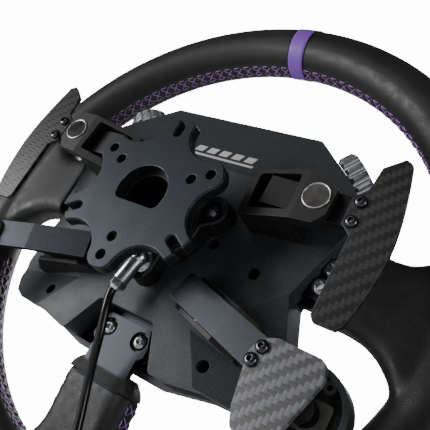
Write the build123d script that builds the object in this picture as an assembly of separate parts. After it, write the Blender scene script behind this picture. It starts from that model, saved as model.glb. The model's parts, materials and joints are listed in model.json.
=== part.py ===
from build123d import *
import math
import os

# Quick release steering wheel: leather rim on three spokes, control housing, star shaped hub plate
# standing off behind it, two shifter paddles, two clutch paddles, and a cable with its plug.
# Millimetres. The wheel axis is Y: the hub plate's mounting face is y = 0 and the driver sits at -Y.
# +Z is twelve o'clock, +X is the driver's right. "Depth" is the distance from the mounting face
# towards the driver, so depth 40 is y = -40.

# ---------------------------------------------------------------- driving dimensions
RIM_RADIUS = 142.5          # centre of the grip tube
GRIP_RADIUS = 15.0          # grip tube
RIM_DEPTH = 62.0
CORE_RADIUS = 5.0           # metal ring inside the grip
CORE_CHANNEL = 5.2

HUB_PCD = 70.0
HUB_INNER_PCD = 50.8
HUB_HOLE = 2.7
PLATE_THICK = 6.0
BOSS_BACK = 27.0            # rear face of the three lobed boss
BOSS_FLOOR = 35.0           # floor of its screw pockets
FRAME_BACK = 49.5
FRAME_FRONT = 54.0
TONGUE_BACK = 45.5

COVER_BACK = 37.0
COVER_FRONT = 52.5
SHELL = 3.0
CASE_FRONT = 58.0
PLATE_FRONT = 61.0
SPOKE_HEIGHT = 5.0          # the side spokes' centre line

FIT = 0.05                  # radial running clearance
CABLE_RADIUS = 2.15

ON_TOP = (Align.CENTER, Align.CENTER, Align.MIN)
BELOW = (Align.CENTER, Align.CENTER, Align.MAX)

os.makedirs("parts", exist_ok=True)
nodes = {}


# ---------------------------------------------------------------- helpers
def at_depth(depth):
    """Sketch plane at a depth: sketch x is X, sketch y is Z, extrusion goes towards the driver."""
    return Plane.XZ.offset(depth)


def slab(sketch, near, far):
    return extrude(at_depth(near) * sketch, far - near)


def rod(x, z, radius, near, far):
    return slab(Pos(x, z) * Circle(radius), near, far)


def disc_points(radius, angles):
    return [(radius * math.cos(math.radians(a)), radius * math.sin(math.radians(a))) for a in angles]


def outline(points, rounding):
    sketch = make_face(Polyline(*points, close=True))
    return fillet(sketch.vertices(), rounding)


def both_sides(right_half):
    """Points of a symmetric outline, from its right half listed top to bottom."""
    left_half = [(-x, z) for x, z in reversed(right_half) if x > 0]
    return right_half + left_half


def group(shapes):
    return Compound(children=list(shapes))


def left_of(shape):
    """Mirror image on the driver's left."""
    solids = shape.solids()
    if len(solids) == 1:
        return mirror(shape, Plane.YZ)
    return group(mirror(solid, Plane.YZ) for solid in solids)


def cap_screw(x, z, under_head, head_radius, head_height, shank_radius, length):
    head = rod(x, z, head_radius, under_head - head_height, under_head)
    head = chamfer(head.faces().sort_by(Axis.Y)[-1].edges(), 0.4)
    socket = slab(Pos(x, z) * RegularPolygon(head_radius * 0.55, 6), under_head - head_height,
                  under_head - head_height * 0.4)
    return head - socket + rod(x, z, shank_radius, under_head, under_head + length)


def button_screw(head_radius, head_height, shank_radius, length):
    """Round head screw on the Z axis: head up from z = 0, shank down."""
    head = Cylinder(head_radius, head_height, align=ON_TOP)
    head = fillet(head.faces().sort_by(Axis.Z)[-1].edges(), head_height * 0.75)
    socket = extrude(Plane.XY.offset(head_height * 0.35) * RegularPolygon(head_radius * 0.45, 6), head_height)
    shank = Cylinder(shank_radius, length, align=BELOW)
    return head - socket + shank


def screw_at(screw, x, z, depth):
    """Place a screw built on the Z axis so that it enters towards the driver."""
    return Pos(x, -depth, z) * Rot(-90, 0, 0) * screw


# ---------------------------------------------------------------- hub: star plate, boss, screws
BOLT_ANGLES = (30, 150, 270)
NOTCH_ANGLES = (90, 210, 330)

STAR_RADIUS = 41.6
SCALLOP_CENTRE, SCALLOP_RADIUS = 45.0, 15.1
LOBE_ROUNDING, HORN_ROUNDING = 6.5, 1.2
SLOT_WIDTH, SLOT_BOTTOM = 4.2, 32.2
BORE_RADIUS, BORE_FLAT = 14.0, -7.0


def near_lobe(vertex):
    """True for the outline's corners at the bolt lobes, false for those at the slotted horns."""
    angle = math.degrees(math.atan2(vertex.Y, vertex.X))
    return any(abs((angle - lobe + 180) % 360 - 180) < 20 for lobe in BOLT_ANGLES)


star = Circle(STAR_RADIUS) - PolarLocations(SCALLOP_CENTRE, 6) * Circle(SCALLOP_RADIUS)
star = fillet([v for v in star.vertices() if near_lobe(v)], LOBE_ROUNDING)
horns = [v for v in star.vertices() if not near_lobe(v) and Vector(v).length > STAR_RADIUS - 1]
star = fillet(horns, HORN_ROUNDING)
for x, z in disc_points(HUB_PCD / 2, BOLT_ANGLES) + disc_points(HUB_INNER_PCD / 2, BOLT_ANGLES):
    star -= Pos(x, z) * Circle(HUB_HOLE)
SLOT_LENGTH = 20.0
for angle in NOTCH_ANGLES:
    slot = SlotOverall(SLOT_LENGTH, SLOT_WIDTH)
    star -= Rot(0, 0, angle) * Pos(SLOT_BOTTOM + SLOT_LENGTH / 2, 0) * slot
bore = Circle(BORE_RADIUS) - Pos(0, BORE_FLAT - BORE_RADIUS) * Rectangle(40, 2 * BORE_RADIUS)
bore = fillet(bore.vertices(), 3.5)
hub_adapter = slab(star - bore, 0, PLATE_THICK)
hub_adapter = chamfer(hub_adapter.faces().sort_by(Axis.Y)[-1].outer_wire().edges(), 0.7)
nodes["hub_adapter"] = hub_adapter

boss = Circle(20)
for angle in BOLT_ANGLES:
    x, z = disc_points(HUB_INNER_PCD / 2, [angle])[0]
    boss += Pos(x, z) * Circle(8)
    boss += Rot(0, 0, angle) * Pos(16, 0) * Rectangle(16, 16)
neck = slab(Circle(18) - Circle(12), PLATE_THICK, BOSS_BACK)
hub_boss = slab(boss - Circle(12), BOSS_BACK, FRAME_BACK)
hub_boss = chamfer(hub_boss.faces().sort_by(Axis.Y)[-1].outer_wire().edges(), 0.7)
hub_boss += neck
SCREW_SPOTS = disc_points(24.0, (30, 150))
PLUG_Z = -24.0
for x, z in SCREW_SPOTS:
    hub_boss -= rod(x, z, 5.4, BOSS_BACK - 1, BOSS_FLOOR)
    hub_boss -= rod(x, z, 2.75, BOSS_FLOOR, FRAME_BACK)
hub_boss -= rod(0, PLUG_Z, 6.0 + FIT, BOSS_BACK - 1, FRAME_BACK)
hub_boss -= rod(0, PLUG_Z, 6.9, BOSS_BACK - 1, 34.0)
hub_boss -= slab(Pos(1, PLUG_Z - 10) * Rectangle(12.5, 20), BOSS_BACK - 1, 29.2)
nodes["hub_boss"] = hub_boss
nodes["hub_cap_screws"] = group(cap_screw(x, z, BOSS_FLOOR, 4.25, 5.0, 2.45, 18.0) for x, z in SCREW_SPOTS)

# ---------------------------------------------------------------- metal frame
frame = Circle(38)
frame += Pos(0, SPOKE_HEIGHT) * Rectangle(178, 30)
frame += Pos(0, -33) * Rectangle(36, 66)
centre_frame = slab(fillet(frame.vertices(), 3), FRAME_BACK, FRAME_FRONT)
centre_frame -= rod(0, 0, 12, FRAME_BACK, FRAME_FRONT)
SIDE_SCREWS = [(side * x, z) for side in (1, -1) for x, z in ((81.7, 0.0), (83.0, 10.0))]
BOTTOM_SCREWS = [(10.4, -57.7), (-10.4, -57.7)]
for x, z in SIDE_SCREWS + BOTTOM_SCREWS + SCREW_SPOTS:
    centre_frame -= rod(x, z, 2.5, FRAME_BACK, FRAME_FRONT)
centre_frame -= rod(0, PLUG_Z, 6.0 + FIT, FRAME_BACK, FRAME_FRONT)
nodes["centre_frame"] = centre_frame


def tongue_profile(start, flat_end):
    """Side view of a spoke tongue: flat on the frame, then stepping forward to the rim's core."""
    top = [(start, TONGUE_BACK), (flat_end, TONGUE_BACK), (RIM_RADIUS - 12, RIM_DEPTH - 4),
           (RIM_RADIUS, RIM_DEPTH - 2)]
    bottom = [(RIM_RADIUS, RIM_DEPTH + 2), (RIM_RADIUS - 13, RIM_DEPTH), (flat_end - 1, FRAME_BACK),
              (start, FRAME_BACK)]
    return [(along, -depth) for along, depth in top + bottom]


side_tongue = extrude(make_face(Polyline(*tongue_profile(74.0, 92.0), close=True)), 11, both=True)
side_tongue = Pos(0, 0, SPOKE_HEIGHT) * side_tongue
bottom_side = make_face(Polyline(*[(y, -along) for along, y in tongue_profile(50.5, 82.0)], close=True))
bottom_plan = make_face(Polyline(*both_sides(
    [(13.4, -50), (17.0, -59), (17.0, -63.5), (14.2, -66.5), (14.2, -150)]), close=True))
bottom_tongue = extrude(Plane.YZ * bottom_side, 20, both=True) & slab(bottom_plan, 30, 80)
BAND_HALF_ANGLE = 2.2       # the twelve o'clock marker, in degrees of the rim


def rim_ring(section, start, sweep):
    """Sweep a section round the wheel axis; start is in degrees from +X towards +Z."""
    ring = revolve(Pos(RIM_RADIUS, -RIM_DEPTH) * section, Axis.Y, -sweep)
    return Rot(0, -start, 0) * ring


core = rim_ring(Circle(CORE_RADIUS), 130, 360)
tongues = side_tongue + left_of(side_tongue) + bottom_tongue
for x, z in SIDE_SCREWS + BOTTOM_SCREWS:
    tongues -= rod(x, z, 2.75, TONGUE_BACK - 1, FRAME_BACK + 1)
COUNTERBORE_FLOOR = 48.0
for x, z in BOTTOM_SCREWS:
    tongues -= rod(x, z, 5.0, TONGUE_BACK - 1, COUNTERBORE_FLOOR)
nodes["rim_frame"] = core + tongues

spoke_screw = button_screw(4.2, 2.8, 2.45, 8.0)
bottom_screw = button_screw(3.9, 3.4, 2.45, 5.5)
spoke_screws = [screw_at(spoke_screw, x, z, TONGUE_BACK) for x, z in SIDE_SCREWS]
spoke_screws += [screw_at(bottom_screw, x, z, COUNTERBORE_FLOOR) for x, z in BOTTOM_SCREWS]
nodes["spoke_screws"] = group(spoke_screws)

# ---------------------------------------------------------------- rim grip and leather spokes
tube_wall = Circle(GRIP_RADIUS) - Circle(CORE_CHANNEL)
grip_outer = rim_ring(Circle(GRIP_RADIUS), 90, 360)
rim_grip = rim_ring(tube_wall, 90 + BAND_HALF_ANGLE, 360 - 2 * BAND_HALF_ANGLE)
nodes["rim_grip"] = rim_grip - tongues
nodes["marker_band"] = rim_ring(tube_wall, 90 - BAND_HALF_ANGLE, 2 * BAND_HALF_ANGLE)


def side_section(x, centre_z, centre_depth, height, thick, rounding):
    plane = Plane(origin=(x, -centre_depth, centre_z), x_dir=(0, 1, 0), z_dir=(1, 0, 0))
    return plane * RectangleRounded(thick, height, rounding)


def bottom_section(z, centre_depth, width, thick, rounding):
    plane = Plane(origin=(0, -centre_depth, z), x_dir=(1, 0, 0), z_dir=(0, 0, -1))
    return plane * RectangleRounded(width, thick, rounding)


side_wrap = loft([
    side_section(88, SPOKE_HEIGHT + 1, 54, 36.5, 20, 5),
    side_section(106, SPOKE_HEIGHT + 0.5, 56.5, 39.5, 20, 7),
    side_section(121, SPOKE_HEIGHT - 1, 59.5, 57, 21, 9),
    side_section(133, SPOKE_HEIGHT - 3, 61, 88, 22, 9)])
side_wrap = side_wrap - grip_outer - side_tongue - slab(frame, FRAME_BACK, FRAME_FRONT)
nodes["spoke_wrap_right"] = side_wrap
nodes["spoke_wrap_left"] = left_of(side_wrap)
bottom_wrap = loft([
    bottom_section(-82, 53.2, 42.5, 15, 5),
    bottom_section(-108, 56.5, 42.5, 17, 6),
    bottom_section(-121, 59.5, 54, 20, 8),
    bottom_section(-131, 61, 78, 22, 9)])
nodes["spoke_wrap_bottom"] = bottom_wrap - grip_outer - bottom_tongue
collar = loft([bottom_section(-74.5, 51.5, 31.5, 10.5, 3), bottom_section(-82, 52.8, 41, 14.8, 4)])
nodes["spoke_collar"] = collar - bottom_tongue

# ---------------------------------------------------------------- housing: rear cover, case, front plate
COVER_HALF = [(0, 74), (48, 74), (76, 51), (86, 40), (85, 24), (73.4, -10.6), (80.3, -28.8), (84.5, -46),
              (83.2, -56), (77.5, -63), (69.5, -65.6), (52, -65.2), (29, -69.5), (18, -47.5), (0, -47.5)]
cover_outline = outline(both_sides(COVER_HALF), 3.0)


WING_DROP = 8.0             # how far the wings' lower corners lie below the rear face


def wedge_above(drop):
    """Everything behind the cover's sloping upper face."""
    slope = [(40, -COVER_BACK - drop), (90, -COVER_BACK - 10.4 - drop), (90, 5), (40, 5)]
    return extrude(Plane.YZ * make_face(Polyline(*[(y, z) for z, y in slope], close=True)), 110, both=True)


def behind_plane(first, second, lowest):
    """Block of everything behind the plane through three points."""
    along = (second - first).normalized()
    normal = along.cross(lowest - first).normalized()
    if normal.Y < 0:
        normal = normal * -1
    plane = Plane(origin=first, x_dir=along, z_dir=normal)
    return plane * Box(220, 220, 40, align=(Align.CENTER, Align.CENTER, Align.MIN))


def wing_cut(drop):
    """Everything behind a lower wing's two sloping facets, which meet along a fold."""
    level = -COVER_BACK - drop
    fold = Vector(37.5, level, -43)
    tip = Vector(79, level - WING_DROP, -50)
    inner_facet = behind_plane(fold, Vector(51.3, level, -62.8), tip)
    upper_facet = behind_plane(fold, Vector(73.4, level, -10.6), tip)
    right = inner_facet & upper_facet & Pos(60, 0, -50) * Box(80, 300, 90)
    return right + left_of(right)


cover = slab(cover_outline, COVER_BACK, COVER_FRONT) - wedge_above(0) - wing_cut(0)
hollow = slab(offset(cover_outline, -SHELL), COVER_BACK + SHELL, COVER_FRONT)
hollow = hollow - wedge_above(SHELL) - wing_cut(SHELL)
COVER_SCREWS = [(side * x, z) for side in (1, -1) for x, z in ((25.5, -0.5), (53.0, -7.5))]
CASE_SCREWS = [(51.7, -55.0), (-51.7, -55.0)]
POST_RADIUS = 4.8
SCREW_SEAT = 46.0
rear_cover = cover - hollow
for x, z in COVER_SCREWS + CASE_SCREWS:
    post_end = FRAME_BACK if (x, z) in COVER_SCREWS else COVER_FRONT
    rear_cover += rod(x, z, POST_RADIUS, 40, post_end) & slab(cover_outline, 30, 60)
rear_cover -= slab(offset(boss, 0.4), COVER_BACK - 1, COVER_FRONT)
for x, z in COVER_SCREWS + CASE_SCREWS:
    rear_cover -= rod(x, z, 3.0, COVER_BACK - 1, SCREW_SEAT)
    rear_cover -= rod(x, z, 1.6, SCREW_SEAT, COVER_FRONT)
rear_cover -= slab(offset(frame, 0.3), FRAME_BACK - 0.3, COVER_FRONT)
rear_cover -= slab(Pos(0, SPOKE_HEIGHT) * Rectangle(200, 22.6), TONGUE_BACK - 0.3, FRAME_BACK)
rear_cover -= slab(Pos(0, -60) * Rectangle(37.8, 30), TONGUE_BACK - 0.3, FRAME_BACK)
for x, z in SIDE_SCREWS:
    rear_cover -= rod(x, z, 4.7, TONGUE_BACK - 3.4, COVER_FRONT)

CASE_HALF = [(0, 69), (46, 69), (71, 48.5), (81, 37), (80, 22), (72.3, -10), (79.0, -27), (81.5, -46),
             (79.5, -58), (73, -65), (55, -66), (27, -72), (0, -72)]
case_outline = outline(both_sides(CASE_HALF), 3.0)
front_case = slab(case_outline - offset(case_outline, -SHELL), COVER_FRONT, CASE_FRONT)
for x, z in CASE_SCREWS:
    post = rod(x, z, POST_RADIUS, COVER_FRONT, CASE_FRONT)
    rib = slab(Pos(x, z - POST_RADIUS) * Rectangle(3.0, 3 * POST_RADIUS), COVER_FRONT, CASE_FRONT)
    front_case += (post + rib) & slab(case_outline, 30, 60)
    front_case -= rod(x, z, 1.5, COVER_FRONT, CASE_FRONT)
front_case -= slab(offset(frame, 0.3), COVER_FRONT - 1, FRAME_FRONT)

# thumb rollers at the two upper corners, turning about the normal of the sloping edge
ROLLER_RADIUS = 12.0
ROLLER_SHAFT = 3.0
SLOPE = Vector(28, 0, -23).normalized()
ROLLER_AXIS = Vector(-SLOPE.Z, 0, SLOPE.X)
ROLLER_SPOT = Vector(66.3, -53.0, 58.97)
roller_plane = Plane(origin=ROLLER_SPOT, x_dir=(0, 1, 0), z_dir=ROLLER_AXIS)
bores = roller_plane * Pos(0, 0, -9) * Cylinder(ROLLER_SHAFT + FIT, 24)
bores += left_of(bores)
rear_cover -= bores
front_case -= bores
ENCODER_DROP = 12.0         # from the roller's face to the middle of its encoder
encoder = Pos(0, 0, -ENCODER_DROP) * Box(8.5, 12, 6.4)
encoder -= Pos(0, 0, -ENCODER_DROP) * Cylinder(ROLLER_SHAFT + FIT, 4, align=ON_TOP)
encoder = roller_plane * encoder
nodes["rear_cover"] = rear_cover
nodes["front_case"] = front_case
ROLLER_WIDTH = 9.5
ROLLER_GAP = 0.7            # between the roller and the sloping edge
grooves = PolarLocations(ROLLER_RADIUS, 14) * Circle(1.4)
roller = extrude(Circle(ROLLER_RADIUS) - grooves, ROLLER_WIDTH)
roller = roller & chamfer(Cylinder(ROLLER_RADIUS, ROLLER_WIDTH, align=ON_TOP).edges(), 1.6)
roller += Cylinder(ROLLER_SHAFT, ENCODER_DROP, align=BELOW)
roller = roller_plane * Pos(0, 0, ROLLER_GAP) * roller
nodes["thumb_roller_right"] = roller
nodes["thumb_roller_left"] = left_of(roller)

cover_screw = button_screw(2.7, 2.2, 1.45, 7.5)
HOUSING_SCREWS = COVER_SCREWS + CASE_SCREWS
nodes["housing_screws"] = group(screw_at(cover_screw, x, z, SCREW_SEAT) for x, z in HOUSING_SCREWS)
for x, z in COVER_SCREWS:
    centre_frame -= rod(x, z, 1.5, FRAME_BACK, FRAME_FRONT)
nodes["centre_frame"] = centre_frame

# ---------------------------------------------------------------- driver's side: board, carbon plate, buttons
BUTTONS = {"upper_inner": (33.0, 54.0), "upper_outer": (57.0, 38.0), "middle": (63.0, 6.0),
           "lower": (56.0, -27.0)}
BUTTON_RADIUS = 5.2
BUTTON_FIT = 0.1
BEZEL_HEIGHT = 2.2
BOARD_FRONT = FRAME_FRONT + 1.6
board = offset(case_outline, -9.0)
board_holes = rod(0, PLUG_Z, 7, 50, 60)
circuit_board = slab(board, FRAME_FRONT, BOARD_FRONT) - encoder - left_of(encoder) - board_holes
for x, z in CASE_SCREWS:
    circuit_board -= rod(x, z, POST_RADIUS + 0.5, 50, 60)
    circuit_board -= slab(Pos(x, z - POST_RADIUS) * Rectangle(4.0, 3 * POST_RADIUS + 1), 50, 60)
for x, z in COVER_SCREWS + SCREW_SPOTS:
    circuit_board -= rod(x, z, 3.0, 50, 60)
nodes["circuit_board"] = circuit_board

front_plate = slab(case_outline, CASE_FRONT, PLATE_FRONT)
PLATE_SCREWS = [(side * x, z) for side in (1, -1) for x, z in ((70.0, 43.0), (67.0, -17.0), (18.0, -66.0))]
for x, z in PLATE_SCREWS:
    front_plate -= rod(x, z, 1.5, CASE_FRONT, PLATE_FRONT)
right_buttons = []
left_buttons = []
bezels = []
for name, (x, z) in BUTTONS.items():
    for side, word in ((1, "right"), (-1, "left")):
        front_plate -= rod(side * x, z, BUTTON_RADIUS + BUTTON_FIT, CASE_FRONT, PLATE_FRONT)
        ring = Circle(7.6) - Circle(BUTTON_RADIUS + BUTTON_FIT)
        ring = slab(Pos(side * x, z) * ring, PLATE_FRONT, PLATE_FRONT + BEZEL_HEIGHT)
        bezels.append(chamfer(ring.faces().sort_by(Axis.Y)[0].outer_wire().edges(), 0.7))
        cap = rod(side * x, z, BUTTON_RADIUS, BOARD_FRONT + 2.0, PLATE_FRONT + 4.6)
        nodes[f"button_{name}_{word}"] = fillet(cap.faces().sort_by(Axis.Y)[0].edges(), 0.8)
nodes["front_plate"] = front_plate
nodes["button_bezels"] = group(bezels)
plate_screw = button_screw(2.8, 1.6, 1.4, 2.8)
front_screws = [Pos(x, -PLATE_FRONT, z) * Rot(90, 0, 0) * plate_screw for x, z in PLATE_SCREWS]
centre_cap = rod(0, 8, 21, PLATE_FRONT, PLATE_FRONT + 2.5)
centre_cap = chamfer(centre_cap.faces().sort_by(Axis.Y)[0].edges(), 1.0)
nodes["centre_cap"] = centre_cap

# lower control pod on the driver's left: a cup open at the back, with a rotary encoder and its knob.
# It is drawn at positive X and mirrored.
POD_X, POD_Z = 91.5, -50.0
POD_RADIUS = 21.5
POD_FRONT = 76.0
pod = Pos(POD_X, POD_Z) * Circle(POD_RADIUS)
tab = outline([(54, -38), (84, -36), (84, -62), (58, -57)], 3)
cup = slab(pod, PLATE_FRONT, POD_FRONT) + slab(tab, PLATE_FRONT, PLATE_FRONT + 3)
cup -= rod(POD_X, POD_Z, POD_RADIUS - 3, PLATE_FRONT - 1, POD_FRONT - 3)
cup += rod(99.0, -36.0, 3.2, PLATE_FRONT + 2, POD_FRONT - 2)
cup -= rod(99.0, -36.0, 1.4, PLATE_FRONT, PLATE_FRONT + 8)
cup -= rod(POD_X, POD_Z, ROLLER_SHAFT + FIT, POD_FRONT - 4, POD_FRONT)
pod_shell = fillet(cup.faces().sort_by(Axis.Y)[0].outer_wire().edges(), 2.0)
POD_SCREWS = [(60.0, -43.0), (62.5, -53.0)]
for x, z in POD_SCREWS:
    pod_shell -= rod(x, z, 1.5, PLATE_FRONT, PLATE_FRONT + 3)
nodes["pod"] = left_of(pod_shell)
rotary = rod(POD_X, POD_Z, 6.5, PLATE_FRONT, POD_FRONT - 5.5)
rotary += slab(Pos(POD_X, POD_Z) * RectangleRounded(22, 16, 2), POD_FRONT - 5.5, POD_FRONT - 3)
nodes["encoders"] = group([encoder, left_of(encoder), left_of(rotary)])
KNOB_RADIUS = 13.0
knob_grip = Circle(KNOB_RADIUS) - PolarLocations(KNOB_RADIUS, 24) * Circle(0.8)
knob = slab(Pos(POD_X, POD_Z) * knob_grip, POD_FRONT + 0.6, POD_FRONT + 9)
knob += rod(POD_X, POD_Z, KNOB_RADIUS - 1.2, POD_FRONT + 9, POD_FRONT + 11)
knob += rod(POD_X, POD_Z, ROLLER_SHAFT, POD_FRONT - 2.9, POD_FRONT + 1)
nodes["pod_knob"] = left_of(knob)
front_screws += [Pos(-x, -PLATE_FRONT - 3, z) * Rot(90, 0, 0) * plate_screw for x, z in POD_SCREWS]
nodes["front_screws"] = group(front_screws)

# ---------------------------------------------------------------- shifter paddles
SHIFT_PIVOT = (52.0, 24.5)   # X and depth of the pin
SHIFT_LOW, SHIFT_HIGH = 20.0, 34.5
PIN_RADIUS = 1.5
MAGNET = (75.8, 27.1)
MAGNET_RADIUS = 6.5
bracket_outline = outline([(37.5, 36.5), (68.5, 39.0), (78, 39.0), (83.4, 33.3), (83.4, 20), (79, 14.6),
                           (68.5, 13.8), (39.5, 11.5)], 1.0)
bracket = slab(bracket_outline, 11.5, COVER_BACK)
behind_slope = make_face(Polyline((68.5, -11.5), (30, -21.6), (30, 0), (68.5, 0), close=True))
bracket -= extrude(behind_slope, 60, both=True)
bracket -= Pos(73, -26, (SHIFT_LOW + SHIFT_HIGH) / 2) * Box(50, 22, SHIFT_HIGH - SHIFT_LOW + 1.6)
window = outline([(41.5, 34.4), (64.5, 36.4), (66, 17.6), (43, 15.6)], 1.5)
bracket -= slab(window, 5, 30)
bracket -= slab(Pos(80, 26) * Rectangle(24, 40), 17.6, COVER_BACK)
bracket -= rod(*MAGNET, MAGNET_RADIUS + FIT, 5, 20)
bracket -= slab(outline([(47, 12.5), (64, 13.5), (64, 16), (47, 15)], 0.5), 24.5, 34.5)
pin_axis = Pos(SHIFT_PIVOT[0], -SHIFT_PIVOT[1], 26)
bracket -= pin_axis * Cylinder(PIN_RADIUS, 40)
nodes["shifter_bracket_right"] = bracket
nodes["shifter_bracket_left"] = left_of(bracket)
magnet = rod(*MAGNET, MAGNET_RADIUS, 11.0, 15.2)
nodes["shifter_magnets"] = group([magnet, left_of(magnet)])
pin = pin_axis * Cylinder(PIN_RADIUS, 23)

arm_side = make_face(Polyline((48, -18), (100, -18), (100, -21.5), (57, -22.5), (54.5, -25),
                              (49.5, -25), (48, -22), close=True))
arm_side += Pos(SHIFT_PIVOT[0], -SHIFT_PIVOT[1]) * Circle(3.4)
SHIFT_MIDDLE, SHIFT_HEIGHT = (SHIFT_LOW + SHIFT_HIGH) / 2, SHIFT_HIGH - SHIFT_LOW
shifter_arm = Pos(0, 0, SHIFT_MIDDLE) * extrude(arm_side, SHIFT_HEIGHT / 2, both=True)
shifter_arm += rod(*MAGNET, 5.5, 15.6, 19)
shifter_arm -= pin_axis * Cylinder(PIN_RADIUS + FIT, 60)
BLADE_SCREWS = [(93.4, 31.6), (93.4, 21.8)]
for x, z in BLADE_SCREWS:
    shifter_arm -= rod(x, z, 1.5, 17, 23)
nodes["shifter_arm_right"] = shifter_arm
nodes["shifter_arm_left"] = left_of(shifter_arm)
outer_edge = Spline((107, 54.5), (112, 31), (113.6, 12), (112.2, -4), (108.6, -21))
inner_edge = Polyline((108.6, -21), (106.5, -23.4), (97, -23.4), (95, -21), (95, 15.5), (89.5, 20),
                      (89, 33.5), (94, 37.5), (95.5, 50), (103.5, 56.5), (107, 54.5))
blade_outline = make_face(outer_edge + inner_edge)
blade_outline = fillet(blade_outline.vertices(), 1.0)
blade = slab(blade_outline, 15.5, 18.0)
for x, z in BLADE_SCREWS:
    blade -= rod(x, z, 1.5, 15, 19)
nodes["shifter_blade_right"] = blade
nodes["shifter_blade_left"] = left_of(blade)
blade_screw = button_screw(2.9, 2.2, 1.45, 4.0)
screws = group(screw_at(blade_screw, x, z, 15.5) for x, z in BLADE_SCREWS)
nodes["shifter_screws_right"] = screws
nodes["shifter_screws_left"] = left_of(screws)

# ---------------------------------------------------------------- clutch paddles
CLUTCH_START = Vector(33.0, 0.0, -29.0)     # inner end of the arm
CLUTCH_TURN = math.radians(16)              # the arm falls away from the horizontal
CLUTCH_ALONG = Vector(math.cos(CLUTCH_TURN), 0, -math.sin(CLUTCH_TURN))
CLUTCH_ACROSS = Vector(math.sin(CLUTCH_TURN), 0, math.cos(CLUTCH_TURN))
CLUTCH_PIVOT = (13.0, 29.0)                 # along the arm, and depth
ARM_HALF = 7.2
clutch_plane = Plane(origin=CLUTCH_START, x_dir=CLUTCH_ALONG, z_dir=CLUTCH_ACROSS)


def clutch_profile(points):
    return make_face(Polyline(*[(along, -depth) for along, depth in points], close=True))


arm_profile = clutch_profile([(-2.5, 22), (31.6, 15.5), (57, 12.5), (57, 15.3), (31.9, 18.6), (22.5, 20.5),
                              (17.2, 30), (8.8, 30), (4.5, 23.9), (0.5, 24.7), (0.5, 28), (-2.5, 28)])
arm_profile += Pos(CLUTCH_PIVOT[0], -CLUTCH_PIVOT[1]) * Circle(4.2)
clutch_arm = extrude(arm_profile, ARM_HALF, both=True)
clutch_pin_hole = Pos(CLUTCH_PIVOT[0], -CLUTCH_PIVOT[1]) * Cylinder(PIN_RADIUS + FIT, 40)
clutch_arm -= clutch_pin_hole
cheek = clutch_profile([(-4, COVER_BACK), (-4, 33), (4, 26), (27, 23.5), (30, 27), (36, COVER_BACK)])
cheek_slab = extrude(cheek, 2)
bracket_parts = Pos(0, 0, ARM_HALF + 0.4) * cheek_slab + Pos(0, 0, -ARM_HALF - 2.4) * cheek_slab
bracket_parts += Pos(16, -39, 0) * Box(40, 8, 2 * ARM_HALF + 4.8)
bracket_parts -= Pos(CLUTCH_PIVOT[0], -CLUTCH_PIVOT[1]) * Cylinder(PIN_RADIUS, 40)
clutch_bracket = clutch_plane * bracket_parts - (slab(cover_outline, COVER_BACK, 60) - wing_cut(0))
nodes["clutch_bracket_right"] = clutch_bracket
nodes["clutch_bracket_left"] = left_of(clutch_bracket)
clutch_pin = clutch_plane * Pos(CLUTCH_PIVOT[0], -CLUTCH_PIVOT[1]) * Cylinder(PIN_RADIUS, 16.6)
nodes["paddle_pins"] = group([pin, left_of(pin), clutch_pin, left_of(clutch_pin)])

# the blade lies on the arm's outer part, which leans back a little
LEAN = math.atan2(3.0, 25.4)
blade_origin = CLUTCH_START + CLUTCH_ALONG * 57 + Vector(0, -12.5, 0)
lean_along = CLUTCH_ALONG * math.cos(LEAN) + Vector(0, math.sin(LEAN), 0)
blade_plane = Plane(origin=blade_origin, x_dir=lean_along, z_dir=lean_along.cross(CLUTCH_ACROSS))
BLADE_THICK = 2.5
BLADE_ROUNDING = 4.6
clutch_outline = outline([(-5.5, 5.5), (0, 9.5), (21.5, 14.5), (25.5, 8), (25.0, -14), (20, -26.5),
                          (9, -26.5), (3.5, -20), (-2.5, -9), (-6.5, -1)], BLADE_ROUNDING)
clutch_blade = extrude(clutch_outline, -BLADE_THICK)
CLUTCH_SCREWS = [(-2.5, 3.0), (-2.5, -3.4)]
for x, z in CLUTCH_SCREWS:
    clutch_blade -= Pos(x, z) * Cylinder(1.5, 20)
    clutch_arm -= clutch_plane.to_local_coords(blade_plane * Pos(x, z) * Cylinder(1.5, 20))
clutch_arm = clutch_plane * clutch_arm
nodes["clutch_arm_right"] = clutch_arm
nodes["clutch_arm_left"] = left_of(clutch_arm)
clutch_blade = blade_plane * clutch_blade
nodes["clutch_blade_right"] = clutch_blade
nodes["clutch_blade_left"] = left_of(clutch_blade)
clutch_screw = blade_plane * Pos(0, 0, -BLADE_THICK) * Rot(180, 0, 0) * button_screw(2.9, 2.2, 1.45, 4.5)
clutch_spots = [blade_plane.x_dir * x + blade_plane.y_dir * z for x, z in CLUTCH_SCREWS]
screws = group(Pos(*spot) * clutch_screw for spot in clutch_spots)
nodes["clutch_screws_right"] = screws
nodes["clutch_screws_left"] = left_of(screws)

# ---------------------------------------------------------------- socket, right angle plug and cable
nodes["cable_socket"] = rod(0, PLUG_Z, 6.0, 34, FRAME_FRONT)

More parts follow.
